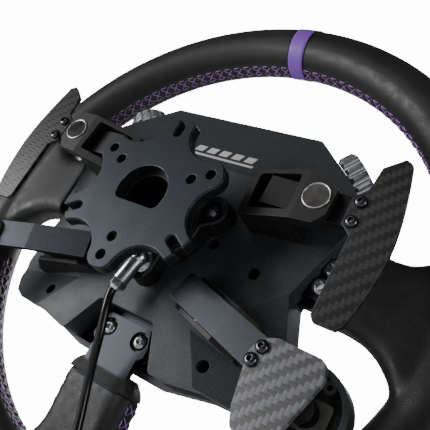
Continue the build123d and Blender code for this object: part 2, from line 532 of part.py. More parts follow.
ELBOW_DEPTH = 24.5
PLUG_TURN = math.radians(11)                # the barrel leans a little from straight down
plug_out = Vector(math.sin(PLUG_TURN), 0, -math.cos(PLUG_TURN))
elbow_centre = Vector(0, -ELBOW_DEPTH, PLUG_Z)
BARREL_END, NUT_END, BOOT_END = 14.0, 17.5, 19.0
ring = slab(Pos(0, PLUG_Z) * (Circle(6.3) - PolarLocations(6.3, 20) * Circle(0.5)), 28.0, 34.0)
plug = chamfer(rod(0, PLUG_Z, 6.0, 27.6, 28.0).faces().sort_by(Axis.Y)[-1].edges(), 0.3) + ring
plug += rod(0, PLUG_Z, 4.4, ELBOW_DEPTH, 27.6)
plug += Pos(*elbow_centre) * Sphere(4.4)
barrel = Plane(origin=elbow_centre, x_dir=(0, 1, 0), z_dir=plug_out)
plug += barrel * Cylinder(4.1, BARREL_END, align=ON_TOP)
nut = extrude(RegularPolygon(4.6, 6), NUT_END - BARREL_END)
plug += barrel * Pos(0, 0, BARREL_END) * nut
plug += barrel * Pos(0, 0, NUT_END) * Cone(3.2, 2.4, BOOT_END - NUT_END, align=ON_TOP)
nodes["cable_plug"] = plug

COIL_CENTRE = Vector(-12.0, -43.0, -206.0)
COIL_RADIUS = 23.0          # middle of the turns
COIL_SECTION = 13.0
COIL_TURNS = 9
STRAIGHT_LENGTH = 2.0       # the cable leaves its plug straight before it bends
cable_start = elbow_centre + plug_out * BOOT_END
cable_points = [(3.9, -24.5, -47.0), (2.2, -24.8, -52.5), (0.6, -26.1, -58.2), (-0.9, -28.3, -65.0),
                (-1.9, -31.7, -73.8), (-3.2, -35.4, -83.6), (-5.4, -38.4, -93.8), (-8.6, -40.5, -104.6),
                (-11.4, -41.8, -116.0), (-13.2, -43.0, -130.0), (-14.8, -44.5, -146.0),
                (-19.5, -46.3, -162.5), (-27.5, -47.0, -177.5), (-35.4, -47.0, -191.5)]
tail_points = [(-37.0, -39.5, -208.0), (-38.2, -40.0, -221.0), (-37.6, -42.0, -233.0), (-37.5, -43.5, -245.0)]
cable_route = [cable_start, cable_start + plug_out * STRAIGHT_LENGTH] + [Vector(*p) for p in cable_points]
tail_route = [Vector(*p) for p in tail_points]


def bend_radii(route):
    """The largest arc that each corner of the route allows."""
    radii = []
    for before, here, after in zip(route, route[1:], route[2:]):
        first, second = here - before, after - here
        half_turn = math.radians(first.get_angle(second)) / 2
        radii.append(0.45 * min(first.length, second.length) / math.tan(half_turn))
    return radii


def cable_tube(route):
    path = FilletPolyline(*route, radius=bend_radii(route))
    section = Plane(origin=route[0], z_dir=route[1] - route[0]) * Circle(CABLE_RADIUS)
    tube = sweep(section, path=path)
    print("cable radii", [round(radius) for radius in bend_radii(route)])
    print("cable length", round(path.length, 1), "volume over section x length",
          round(tube.volume / (math.pi * CABLE_RADIUS ** 2 * path.length), 4))
    return tube


coil_section = Pos(COIL_RADIUS, 0) * RectangleRounded(COIL_SECTION, COIL_SECTION, 4)
coil_solid = Pos(*COIL_CENTRE) * revolve(coil_section, Axis.Y, 360)
USB_X, USB_Y = -37.5, -43.5
usb = Pos(USB_X, USB_Y, -259.0) * extrude(Plane.XY.offset(-14) * RectangleRounded(16, 8, 2.5), 28)
usb += Pos(USB_X, USB_Y, -279.0) * Box(12, 4.5, 12)
nodes["cable"] = cable_tube(cable_route) - coil_solid
nodes["cable_tail"] = cable_tube(tail_route) - coil_solid - usb
nodes["cable_coil"] = coil_solid
nodes["usb_plug"] = usb
print("cable in the coil", round(COIL_TURNS * 2 * math.pi * COIL_RADIUS, 1))
tie_ring = RectangleRounded(COIL_SECTION + 3.4, COIL_SECTION + 3.4, 4) - RectangleRounded(
    COIL_SECTION + 0.4, COIL_SECTION + 0.4, 3)
tie_plane = Plane(origin=COIL_CENTRE + Vector(-4, 0, COIL_RADIUS), x_dir=(0, 1, 0), z_dir=(1, 0, 0))
nodes["coil_tie"] = extrude(tie_plane * tie_ring, 8) - coil_solid - nodes["cable"]

for name, shape in nodes.items():
    print(name, round(shape.volume), shape.is_valid, len(shape.solids()))
    export_step(shape, f"parts/{name}.step")
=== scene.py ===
import json
import math

import bmesh
import bpy
from mathutils import Matrix, Vector
from mathutils.bvhtree import BVHTree


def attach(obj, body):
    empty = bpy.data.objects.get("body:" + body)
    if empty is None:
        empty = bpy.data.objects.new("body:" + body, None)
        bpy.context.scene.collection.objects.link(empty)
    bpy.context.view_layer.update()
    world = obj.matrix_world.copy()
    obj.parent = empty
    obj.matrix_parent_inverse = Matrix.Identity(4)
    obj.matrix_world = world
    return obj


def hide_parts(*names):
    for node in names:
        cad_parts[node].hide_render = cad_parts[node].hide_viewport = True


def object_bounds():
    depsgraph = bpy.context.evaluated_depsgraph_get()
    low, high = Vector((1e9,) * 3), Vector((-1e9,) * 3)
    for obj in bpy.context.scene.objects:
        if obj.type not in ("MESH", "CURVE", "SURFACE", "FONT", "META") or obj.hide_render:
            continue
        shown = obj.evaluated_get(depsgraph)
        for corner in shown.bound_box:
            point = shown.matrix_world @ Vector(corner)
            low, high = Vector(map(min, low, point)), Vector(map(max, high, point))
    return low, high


# Quick release steering wheel seen from behind. Metres, in the CAD model's frame: the wheel axis is Y,
# the driver sits at -Y, +Z is twelve o'clock and +X is the driver's right.
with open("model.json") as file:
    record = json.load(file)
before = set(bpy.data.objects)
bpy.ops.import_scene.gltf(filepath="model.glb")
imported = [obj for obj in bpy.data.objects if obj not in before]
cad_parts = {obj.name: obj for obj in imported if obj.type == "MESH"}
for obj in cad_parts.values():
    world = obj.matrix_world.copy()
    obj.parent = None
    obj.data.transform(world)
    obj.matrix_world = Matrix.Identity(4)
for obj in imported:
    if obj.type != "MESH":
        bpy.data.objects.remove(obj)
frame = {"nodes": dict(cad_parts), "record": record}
nodes = frame["nodes"]
cad_low, cad_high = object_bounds()

RIM_RADIUS, GRIP_RADIUS, RIM_DEPTH = 0.1425, 0.015, 0.062


# ---------------------------------------------------------------- camera, light and floor
CAMERA_SPOT = Vector((-0.18328, 0.20033, -0.07672))
CAMERA_RIGHT = Vector((-0.7950, -0.3719, 0.4792))
CAMERA_UP = Vector((0.2637, 0.4996, 0.8251))
CAMERA_BACK = Vector((-0.5463, 0.7823, -0.2991))
SENSOR_WIDTH, LENS = 36.0, 50.43        # millimetres
NEAREST_SEEN = 0.01
FLOOR_REACH, FLOOR_DROP = 0.8, 0.03
FLOOR_TONE, FLOOR_ROUGHNESS = (0.9, 0.9, 0.9, 1), 0.9
BACKDROP_TONE, BACKDROP_STRENGTH = (1, 1, 1, 1), 14.0
AMBIENT_TONE, AMBIENT_STRENGTH = (0.95, 0.97, 1.0, 1), 0.09
LIGHT_TARGET = Vector((0, -0.03, 0))
# each light's name, place, size across and power
LIGHTS = [
    ("key", (0.72, 0.62, -0.06), 0.50, 6.2),
    ("rim", (0.42, 0.85, 0.42), 0.40, 0.6),
    ("low", (-0.30, 0.30, -0.85), 0.50, 3.0),
    ("side", (-0.95, 0.25, 0.10), 0.50, 2.0),
    ("front", (0.25, -0.95, 0.55), 0.70, 8.0),
]


def make_camera():
    camera = bpy.data.objects.new("camera", bpy.data.cameras.new("camera"))
    bpy.context.scene.collection.objects.link(camera)
    turn = Matrix((CAMERA_RIGHT, CAMERA_UP, CAMERA_BACK)).transposed()
    camera.matrix_world = Matrix.Translation(CAMERA_SPOT) @ turn.to_4x4()
    camera.data.sensor_width = SENSOR_WIDTH
    camera.data.lens = LENS
    camera.data.clip_start = NEAREST_SEEN
    bpy.context.scene.camera = camera


def area_light(name, spot, size, power):
    data = bpy.data.lights.new(name, "AREA")
    data.shape = "DISK"
    data.size = size
    data.energy = power
    light = bpy.data.objects.new(name, data)
    bpy.context.scene.collection.objects.link(light)
    light.location = spot
    light.rotation_euler = (LIGHT_TARGET - Vector(spot)).to_track_quat("-Z", "Y").to_euler()


def make_studio():
    floor_mesh = bpy.data.meshes.new("floor")
    reach, level = FLOOR_REACH, cad_low.z - FLOOR_DROP
    corners = [(-reach, -reach, level), (reach, -reach, level),
               (reach, reach, level), (-reach, reach, level)]
    floor_mesh.from_pydata(corners, [], [(0, 1, 2, 3)])
    floor = bpy.data.objects.new("floor", floor_mesh)
    bpy.context.scene.collection.objects.link(floor)
    pale = bpy.data.materials.new("floor_pale")
    pale.use_nodes = True
    shader = pale.node_tree.nodes["Principled BSDF"]
    shader.inputs["Base Color"].default_value = FLOOR_TONE
    shader.inputs["Roughness"].default_value = FLOOR_ROUGHNESS
    floor_mesh.materials.append(pale)
    world = bpy.data.worlds.new("studio")
    bpy.context.scene.world = world
    world.use_nodes = True
    graph = world.node_tree
    shown = graph.nodes["Background"]
    shown.inputs["Color"].default_value = BACKDROP_TONE
    shown.inputs["Strength"].default_value = BACKDROP_STRENGTH
    lighting = graph.nodes.new("ShaderNodeBackground")
    lighting.inputs["Color"].default_value = AMBIENT_TONE
    lighting.inputs["Strength"].default_value = AMBIENT_STRENGTH
    path = graph.nodes.new("ShaderNodeLightPath")
    mix = graph.nodes.new("ShaderNodeMixShader")
    graph.links.new(path.outputs["Is Camera Ray"], mix.inputs[0])
    graph.links.new(lighting.outputs[0], mix.inputs[1])
    graph.links.new(shown.outputs[0], mix.inputs[2])
    graph.links.new(mix.outputs[0], graph.nodes["World Output"].inputs["Surface"])
    for name, spot, size, power in LIGHTS:
        area_light(name, spot, size, power)


# ---------------------------------------------------------------- materials
class Surface:
    """A procedural material, patterned in the object's own coordinates."""

    def __init__(self, name, metallic=0.0, **sockets):
        self.material = bpy.data.materials.new(name)
        self.material.use_nodes = True
        tree = self.material.node_tree
        self.nodes, self.links = tree.nodes, tree.links
        self.shader = self.nodes["Principled BSDF"]
        self.shader.inputs["Metallic"].default_value = metallic
        for socket, value in sockets.items():
            self.shader.inputs[socket.replace("_", " ")].default_value = value
        self.place = self.nodes.new("ShaderNodeTexCoord").outputs["Object"]
        self.normal = None

    def feed(self, socket, value):
        if isinstance(value, bpy.types.NodeSocket):
            self.links.new(value, socket)
        else:
            socket.default_value = value

    def math(self, operation, first, second=0.0):
        node = self.nodes.new("ShaderNodeMath")
        node.operation = operation
        self.feed(node.inputs[0], first)
        self.feed(node.inputs[1], second)
        return node.outputs[0]

    def stretched(self, stretch):
        node = self.nodes.new("ShaderNodeMapping")
        self.links.new(self.place, node.inputs["Vector"])
        node.inputs["Scale"].default_value = stretch
        return node.outputs[0]

    def noise(self, scale, detail=3.0, stretch=None):
        node = self.nodes.new("ShaderNodeTexNoise")
        self.links.new(self.stretched(stretch) if stretch else self.place, node.inputs["Vector"])
        node.inputs["Scale"].default_value = scale
        node.inputs["Detail"].default_value = detail
        return node.outputs["Fac"]

    def cells(self, scale):
        node = self.nodes.new("ShaderNodeTexVoronoi")
        self.links.new(self.place, node.inputs["Vector"])
        node.inputs["Scale"].default_value = scale
        return node.outputs["Distance"]

    def axes(self):
        node = self.nodes.new("ShaderNodeSeparateXYZ")
        self.links.new(self.place, node.inputs[0])
        return node.outputs

    def span(self, value, low, high, start=0.3, end=0.7):
        node = self.nodes.new("ShaderNodeMapRange")
        self.links.new(value, node.inputs["Value"])
        node.inputs["From Min"].default_value = start
        node.inputs["From Max"].default_value = end
        node.inputs["To Min"].default_value = low
        node.inputs["To Max"].default_value = high
        return node.outputs["Result"]

    def tones(self, value, dark, light, start=0.3, end=0.7):
        node = self.nodes.new("ShaderNodeValToRGB")
        self.links.new(value, node.inputs[0])
        first, last = node.color_ramp.elements
        first.position, last.position = start, end
        first.color, last.color = (*dark, 1), (*light, 1)
        return node.outputs["Color"]

    def mixed(self, share, first, second):
        node = self.nodes.new("ShaderNodeMix")
        node.data_type = "RGBA"
        self.feed(node.inputs["Factor"], share)
        colours = [socket for socket in node.inputs if socket.type == "RGBA"]
        self.feed(colours[0], first)
        self.feed(colours[1], second)
        return [socket for socket in node.outputs if socket.type == "RGBA"][0]

    def colour(self, value):
        self.links.new(value, self.shader.inputs["Base Color"])
        return self

    def rough(self, value, low, high):
        self.links.new(self.span(value, low, high), self.shader.inputs["Roughness"])
        return self

    def bump(self, height, distance, strength=1.0):
        node = self.nodes.new("ShaderNodeBump")
        node.inputs["Distance"].default_value = distance
        node.inputs["Strength"].default_value = strength
        self.links.new(height, node.inputs["Height"])
        if self.normal:
            self.links.new(self.normal, node.inputs["Normal"])
        self.normal = node.outputs["Normal"]
        self.links.new(self.normal, self.shader.inputs["Normal"])
        return self

    def soft_edges(self, radius):
        """Rounds sharp edges in the shading and returns how near an edge a point lies."""
        node = self.nodes.new("ShaderNodeBevel")
        node.samples = 4
        node.inputs["Radius"].default_value = radius
        geometry = self.nodes.new("ShaderNodeNewGeometry")
        dot = self.nodes.new("ShaderNodeVectorMath")
        dot.operation = "DOT_PRODUCT"
        self.links.new(node.outputs[0], dot.inputs[0])
        self.links.new(geometry.outputs["Normal"], dot.inputs[1])
        self.normal = node.outputs[0]
        self.links.new(self.normal, self.shader.inputs["Normal"])
        return self.span(dot.outputs["Value"], 1.0, 0.0, 0.80, 0.995)


def leather(name, dark, light, low=0.40, high=0.56):
    s = Surface(name, Specular_IOR_Level=0.5)
    blotch = s.noise(45, 4)
    s.colour(s.tones(blotch, dark, light)).rough(s.noise(240, 3), low, high)
    s.bump(s.noise(70, 3), 0.0005, 0.25)
    return s.bump(s.cells(1250), 0.00012, 0.45)


def hard_coat(name, dark, light, metallic, low, high, grain, edge_highlight_tone, edge=0.00035, depth=0.00005):
    """Blasted or textured surface: fine grain, tone that drifts, and edges painted paler in noisy patches as
    a painted edge highlight.
    """
    s = Surface(name, metallic=metallic)
    edges = s.soft_edges(edge)
    # painted edge highlight: near the edges the colour is mixed towards a pale tone, in patches set by noise
    edge_highlight_mask = s.math("MULTIPLY", edges, s.span(s.noise(160, 4), 0.15, 0.9))
    tone = s.tones(s.noise(grain, 2), dark, light)
    s.colour(s.mixed(edge_highlight_mask, tone, (*edge_highlight_tone, 1))).rough(s.noise(90, 3), low, high)
    return s.bump(s.noise(grain, 2), depth, 0.6)


def brushed(name, dark, light, stretch, low=0.33, high=0.41):
    s = Surface(name, metallic=1.0)
    edges = s.soft_edges(0.0003)
    lines = s.noise(160, 3, stretch)
    # painted edge highlight: near the edges the colour is mixed half way towards pale grey
    s.colour(s.mixed(s.math("MULTIPLY", edges, 0.5), s.tones(lines, dark, light), (0.8, 0.8, 0.82, 1)))
    return s.rough(lines, low, high).bump(s.noise(2600, 2), 0.00003, 0.3)


def polished(name, dark, light, low, high):
    s = Surface(name, metallic=1.0)
    s.soft_edges(0.0002)
    s.colour(s.tones(s.noise(55, 4), dark, light)).rough(s.noise(210, 4), low, high)
    return s.bump(s.noise(900, 2), 0.00001, 0.3)


def carbon(name, under, over, edge_highlight_tone, tow=0.002):
    """Two by two twill under satin resin: tows over two and under two, stepping along a diagonal."""
    s = Surface(name, Coat_Weight=0.20, Coat_Roughness=0.25, Specular_IOR_Level=0.4)
    edges = s.soft_edges(0.0008)
    x, _, z = s.axes()
    u, v = s.math("DIVIDE", x, tow), s.math("DIVIDE", z, tow)
    steps = s.math("ADD", s.math("FLOOR", u), s.math("FLOOR", v))
    warp = s.math("LESS_THAN", s.math("FLOORED_MODULO", steps, 4.0), 2.0)
    across = s.math("ADD", s.math("MULTIPLY", warp, s.math("FRACT", u)),
                    s.math("MULTIPLY", s.math("SUBTRACT", 1.0, warp), s.math("FRACT", v)))
    crown = s.math("SINE", s.math("MULTIPLY", across, math.pi))
    fibres = s.noise(1500, 2, (1, 0.2, 1))
    tone = s.mixed(warp, s.tones(fibres, *under), s.tones(fibres, *over))
    # painted shade: where the crown falls away at each tow's sides, the colour is darkened towards the
    # darkest under tone
    valley_shade = s.mixed(s.span(crown, 0.45, 0.0, 0.0, 0.35), tone, (*under[0], 1))
    # painted edge highlight: near the edges the colour is mixed towards a pale tone
    s.colour(s.mixed(s.math("MULTIPLY", edges, 0.7), valley_shade, (*edge_highlight_tone, 1)))
    return s.rough(fibres, 0.30, 0.46).bump(crown, 0.00010, 0.35)


def thread(name, dark, light):
    s = Surface(name, Sheen_Weight=0.4, Sheen_Roughness=0.4)
    s.colour(s.tones(s.noise(700, 3), dark, light)).rough(s.noise(300, 3), 0.45, 0.65)
    return s.bump(s.noise(2400, 2), 0.0001, 0.6)


def plastic(name, dark, light, low, high, grain=1400, depth=0.00003):
    s = Surface(name)
    s.soft_edges(0.0003)
    s.colour(s.tones(s.noise(60, 4), dark, light)).rough(s.noise(180, 3), low, high)
    return s.bump(s.noise(grain, 2), depth, 0.5)


BRACKET_FACE = -0.0704      # where the encoder's pale bracket begins, towards the driver


def encoder_finish():
    """Black can below, and the pale bracket that it is fixed to nearest the driver."""
    s = Surface("encoder_finish")
    s.soft_edges(0.0003)
    _, y, _ = s.axes()
    bracket = s.math("LESS_THAN", y, BRACKET_FACE)
    mottle = s.noise(200, 3)
    s.colour(s.mixed(bracket, s.tones(mottle, grey(0.006), grey(0.014)),
                     s.tones(mottle, (0.17, 0.165, 0.15), (0.26, 0.25, 0.235))))
    return s.rough(mottle, 0.35, 0.55).bump(s.noise(1400, 2), 0.00003, 0.5)


def grey(value):
    return (value, value * 1.02, value * 1.08)


def make_materials():
    # the last colour in each hard_coat call is the pale tone of its painted edge highlight
    slate = hard_coat("anodised_slate", (0.008, 0.0105, 0.0135), (0.046, 0.055, 0.066), 0.65, 0.38, 0.48,
                      2200, (0.60, 0.62, 0.66), edge=0.0005)
    black_metal = hard_coat("anodised_black", grey(0.006), grey(0.014), 0.0, 0.40, 0.52, 2600, grey(0.24))
    housing = hard_coat("housing_black", (0.017, 0.019, 0.0215), (0.055, 0.061, 0.069), 0.0, 0.46, 0.56,
                        1900, grey(0.20), depth=0.00008)
    kinds = {
        "hub_aluminium": slate,
        "black_aluminium": black_metal,
        "housing_plastic": housing,
        "brushed_aluminium": brushed("anodised_grey", (0.033, 0.036, 0.041), (0.046, 0.050, 0.057),
                                     (1, 16, 16)),
        "steel": polished("steel_bright", grey(0.50), grey(0.68), 0.16, 0.30),
        "black_steel": polished("steel_black", grey(0.09), grey(0.17), 0.16, 0.30),
        "magnet_nickel": polished("magnet_nickel", (0.045, 0.044, 0.042), (0.085, 0.083, 0.080),
                                  0.18, 0.34),
        "chrome": polished("chrome_plate", grey(0.78), grey(0.92), 0.16, 0.28),
        "black_leather": leather("leather_black", grey(0.012), grey(0.023)),
        "purple_leather": leather("leather_purple", (0.255, 0.085, 0.56), (0.33, 0.13, 0.68),
                                  0.36, 0.50),
        # the last colour in each carbon call is the pale tone of its painted edge highlight
        "dark_carbon": carbon("carbon_dark", (grey(0.006), grey(0.010)), (grey(0.026), grey(0.042)),
                              grey(0.16)),
        "light_carbon": carbon("carbon_light", (grey(0.055), grey(0.080)), (grey(0.15), grey(0.19)),
                               grey(0.26)),
        "cable_jacket": plastic("cable_gloss", grey(0.006), grey(0.010), 0.12, 0.22, 500, 0.00002),
        "plug_plastic": plastic("plug_black", grey(0.010), grey(0.018), 0.40, 0.55),
        "button_plastic": plastic("button_grey", grey(0.020), grey(0.032), 0.35, 0.50),
        "encoder_body": encoder_finish(),
        "board": plastic("board_green", (0.004, 0.020, 0.010), (0.008, 0.040, 0.018), 0.25, 0.40),
        "tie_fabric": thread("tie_black", grey(0.006), grey(0.016)),
    }
    slots = {part["node"]: part["material_slot"] for part in frame["record"]["subparts"]}
    for name, node in nodes.items():
        node.data.materials.clear()
        node.data.materials.append(kinds[slots[name]].material)
    return {slot: surface.material for slot, surface in kinds.items()}


# ---------------------------------------------------------------- mesh helpers
def add_piece(name, mesh, material, body="wheel", smooth=True):
    piece = bpy.data.objects.new(name, mesh)
    bpy.context.scene.collection.objects.link(piece)
    mesh.materials.clear()
    mesh.materials.append(material)
    if smooth:
        mesh.polygons.foreach_set("use_smooth", [True] * len(mesh.polygons))
    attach(piece, body)
    return piece


def circle_angles(count):
    return [2 * math.pi * i / count for i in range(count)]


def rings_to_mesh(name, rings, closed=False, capped=True):
    """Skin a list of rings of points, each with the same number of points."""
    count = len(rings[0])
    points = [point for ring in rings for point in ring]
    faces = []
    last = len(rings) if closed else len(rings) - 1
    for i in range(last):
        here, there = i * count, (i + 1) % len(rings) * count
        faces += [(here + j, here + (j + 1) % count, there + (j + 1) % count, there + j)
                  for j in range(count)]
    if capped and not closed:
        faces += [tuple(reversed(range(count))), tuple(range(len(points) - count, len(points)))]
    mesh = bpy.data.meshes.new(name)
    mesh.from_pydata([tuple(p) for p in points], [], faces)
    return mesh


def rounded_ring(width, height, radius, steps=8):
    """Points of a rounded rectangle in its own plane."""
    points = []
    for corner, (sx, sy) in enumerate(((1, 1), (-1, 1), (-1, -1), (1, -1))):
        for step in range(steps):
            angle = math.radians(90) * (corner + step / (steps - 1))
            points.append((sx * (width / 2 - radius) + radius * math.cos(angle),
                           sy * (height / 2 - radius) + radius * math.sin(angle)))
    return points


def between(stations, at):
    """Smoothly interpolated values of stations, each (position, value, value, ...)."""
    for before, after in zip(stations, stations[1:]):
        if at <= after[0]:
            share = max(0.0, (at - before[0]) / (after[0] - before[0]))
            return [a + (b - a) * share for a, b in zip(before[1:], after[1:])]
    return list(stations[-1][1:])


END_PINCH = 0.45            # how thin a thread gets at its two ends


class Threads:
    """Many short lengths of thread in one mesh."""

    def __init__(self, radius, sides=6):
        self.radius, self.sides = radius, sides
        self.points, self.faces = [], []

    def lay(self, path):
        """A tube along the path, pinched at its two ends where it goes into its holes."""
        base = len(self.points)
        for i, point in enumerate(path):
            ahead = (path[min(i + 1, len(path) - 1)] - path[max(i - 1, 0)]).normalized()
            side = ahead.orthogonal().normalized()
            up = ahead.cross(side)
            radius = self.radius * (END_PINCH if i in (0, len(path) - 1) else 1.0)
            for j in range(self.sides):
                angle = 2 * math.pi * j / self.sides
                self.points.append(point + (side * math.cos(angle) + up * math.sin(angle)) * radius)
        for i in range(len(path) - 1):
            here, there = base + i * self.sides, base + (i + 1) * self.sides
            for j in range(self.sides):
                k = (j + 1) % self.sides
                self.faces.append((here + j, here + k, there + k, there + j))
        self.faces.append(tuple(reversed(range(base, base + self.sides))))
        self.faces.append(tuple(range(len(self.points) - self.sides, len(self.points))))

    def mesh(self, name):
        mesh = bpy.data.meshes.new(name)
        mesh.from_pydata([tuple(p) for p in self.points], [], self.faces)
        return mesh


# ---------------------------------------------------------------- cable
CABLE_RADIUS, CABLE_LENGTH = 0.00215, 1.50
COIL_CENTRE = Vector((-0.012, -0.043, -0.206))
COIL_TURNS, COIL_STEPS = 9, 18
COIL_START = math.radians(150)
# in millimetres: the free cable from the right angle plug to the coil, and the tail on to the far plug
CABLE_ROUTE = [(3.625, -24.5, -42.651), (3.95, -24.5, -44.3), (3.0, -24.6, -48.0), (1.2, -25.1, -53.6),
               (-0.2, -26.6, -59.3), (-1.3, -28.7, -65.8), (-1.9, -31.7, -73.8), (-3.2, -35.4, -83.6),
               (-5.4, -38.4, -93.8), (-8.6, -40.5, -104.6), (-11.4, -41.8, -116.0), (-13.2, -43.0, -130.0),
               (-14.8, -44.5, -146.0), (-19.5, -46.3, -162.5), (-27.5, -47.0, -177.5)]
TAIL_ROUTE = [(-39.0, -39.0, -207.0), (-38.4, -39.6, -221.0), (-37.7, -41.8, -233.0), (-37.5, -43.5, -245.0)]
# places of the nine turns in the coil's section: steps outward from the middle, then along the axis
COIL_CELLS = [(1, -1), (0, -1), (-1, -1), (-1, 0), (-1, 1), (0, 1), (0, 0), (1, 0), (1, 1)]
COIL_RADIUS, TURN_PITCH = 0.023, 0.00435
# each turn steps to the next place at its own share of the way round, so the steps don't meet
FIRST_STEP, STEP_EARLIER, STEP_HALF = 0.90, 0.095, 0.07


def coil_points():
    """Nine turns that step from place to place one after another, so none lies in another."""
    points = []
    for step in range(COIL_TURNS * COIL_STEPS + 2):
        turn, share = divmod(step / COIL_STEPS, 1.0)
        turn = int(turn)
        cell = COIL_CELLS[min(turn, COIL_TURNS - 1)]
        following = COIL_CELLS[min(turn + 1, COIL_TURNS - 1)]
        change = FIRST_STEP - STEP_EARLIER * turn
        slide = min(1.0, max(0.0, (share - change + STEP_HALF) / (2 * STEP_HALF)))
        out, along = [a + (b - a) * slide for a, b in zip(cell, following)]
        radius = (COIL_RADIUS + out * TURN_PITCH) / math.cos(math.pi / COIL_STEPS) ** 0.5
        angle = COIL_START + 2 * math.pi * step / COIL_STEPS
        points.append(COIL_CENTRE + Vector((radius * math.cos(angle), along * TURN_PITCH,
                                            radius * math.sin(angle))))
    return points


def make_cable(materials):
    route = [Vector(p) / 1000 for p in CABLE_ROUTE] + coil_points() + [Vector(p) / 1000 for p in TAIL_ROUTE]
    curve = bpy.data.curves.new("signal_cable", "CURVE")
    curve.dimensions = "3D"
    spline = curve.splines.new("NURBS")
    spline.points.add(len(route) - 1)
    for point, place in zip(spline.points, route):
        point.co = (*place, 1)
    spline.order_u = 3
    spline.use_endpoint_u = True
    spline.resolution_u = 6
    curve.bevel_depth = CABLE_RADIUS
    curve.bevel_resolution = 4
    curve.use_fill_caps = True
    cable = bpy.data.objects.new("signal_cable", curve)
    bpy.context.scene.collection.objects.link(cable)
    curve.materials.append(materials["cable_jacket"])
    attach(cable, "wheel")
    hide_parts("cable", "cable_tail", "cable_coil")
    boot = make_plug_boot(materials)


BOOT_LENGTH, BOOT_SUNK = 0.018, 0.0005
BOOT_PLUG_RADIUS, BOOT_CABLE_RADIUS = 0.0036, 0.0025
BOOT_GROOVE = 0.0005
BOOT_STEPS, BOOT_SIDES = 40, 20


def make_plug_boot(materials):
    """Tapered, ribbed strain relief where the cable goes into its far plug."""
    end = Vector(TAIL_ROUTE[-1]) / 1000
    start = Vector(TAIL_ROUTE[-2]) / 1000
    ahead = (start - end).normalized()
    deep = ahead.cross(Vector((1, 0, 0))).normalized()
    side = deep.cross(ahead)
    rings = []
    for i in range(BOOT_STEPS + 1):
        share = i / BOOT_STEPS
        radius = BOOT_PLUG_RADIUS * (1 - share) + BOOT_CABLE_RADIUS * share
        grooved = 3 < i < BOOT_STEPS - 2 and i % 6 in (0, 1)
        if grooved:
            radius -= BOOT_GROOVE
        centre = end + ahead * (BOOT_LENGTH * share - BOOT_SUNK)
        rings.append([centre + side * (radius * math.cos(a)) + deep * (radius * math.sin(a))
                      for a in circle_angles(BOOT_SIDES)])
    mesh = rings_to_mesh("usb_boot", rings)
    return add_piece("usb_boot", mesh, materials["plug_plastic"])


# ---------------------------------------------------------------- leather
# along a side spoke: distance out, then in millimetres its middle's height, its depth, and its section's
# height, thickness and corner radius
SIDE_STATIONS = [(0.0880, 7.4, 54, 39.4, 20, 5), (0.097, 7, 55, 39.5, 20, 6),
                 (0.106, 6, 56.5, 40.5, 20, 7.5), (0.114, 4.8, 58.2, 46, 20.4, 9),
                 (0.121, 4, 59.5, 57, 21, 9.5), (0.127, 3, 60.4, 72, 21.6, 10), (0.133, 2, 61, 90, 22, 10)]
# down the bottom spoke: distance down, then in millimetres its depth, width, thickness and corner radius
BOTTOM_STATIONS = [(0.082, 53.2, 42.5, 15, 5), (0.095, 54.8, 42.5, 16, 6), (0.108, 56.5, 43, 17, 7.5),
                   (0.115, 58.2, 47, 18.6, 8.5), (0.121, 59.5, 54.5, 20, 9), (0.126, 60.3, 65, 21, 9.5),
                   (0.131, 61, 80, 22, 10)]
SPOKE_STEPS = 30


def rim_point(turn, around, lift=0.0):
    """A point on the grip: turn about the wheel's axis, around the tube from its innermost line."""
    out = RIM_RADIUS - (GRIP_RADIUS + lift) * math.cos(around)
    return Vector((out * math.cos(turn), -RIM_DEPTH + (GRIP_RADIUS + lift) * math.sin(around),
                   out * math.sin(turn)))


def spoke_rings(side):
    rings = []
    start, end = SIDE_STATIONS[0][0], SIDE_STATIONS[-1][0]
    for i in range(SPOKE_STEPS + 1):
        x = start + (end - start) * i / SPOKE_STEPS
        centre_z, depth, height, thick, corner = [v / 1000 for v in between(SIDE_STATIONS, x)]
        rings.append([Vector((side * x, -depth + p, centre_z + q))
                      for p, q in rounded_ring(thick, height, corner)])
    return rings


def bottom_rings():
    rings = []
    start, end = BOTTOM_STATIONS[0][0], BOTTOM_STATIONS[-1][0]
    for i in range(SPOKE_STEPS + 1):
        down = start + (end - start) * i / SPOKE_STEPS
        depth, width, thick, corner = [v / 1000 for v in between(BOTTOM_STATIONS, down)]
        rings.append([Vector((p, -depth + q, -down)) for p, q in rounded_ring(width, thick, corner)])
    return rings


def merge_meshes(name, meshes):
    merged = bmesh.new()
    for mesh in meshes:
        merged.from_mesh(mesh)
    bmesh.ops.recalc_face_normals(merged, faces=merged.faces)
    result = bpy.data.meshes.new(name)
    merged.to_mesh(result)
    merged.free()
    return result


def evaluated(mesh, modifiers):
    """The mesh after a list of modifiers, each (type, settings)."""
    work = bpy.data.objects.new("work", mesh)
    bpy.context.scene.collection.objects.link(work)
    for kind, settings in modifiers:
        modifier = work.modifiers.new(kind, kind)
        for key, value in settings.items():
            setattr(modifier, key, value)
    bpy.context.view_layer.update()
    graph = bpy.context.evaluated_depsgraph_get()
    result = bpy.data.meshes.new_from_object(work.evaluated_get(graph))
    bpy.data.objects.remove(work)
    return result


TUBE_SIDES, TUBE_STEPS = 48, 360
SKIN_VOXEL = 0.0015
SEAM_REACH = 0.008          # how far from the seam the leather is drawn in
SEAM_WIDTH, SEAM_DEPTH = 0.0013, 0.0007
ROW_WIDTH, ROW_DEPTH = 0.0009, 0.00025
STITCH_HALF = 0.0039        # from the seam to each row of holes
STITCH_PITCH = 0.0064
# arcs of the rim's inner line, in degrees, that the three spokes cover
SPOKE_ARCS = [(-22, 26), (154, 202), (-108, -72)]


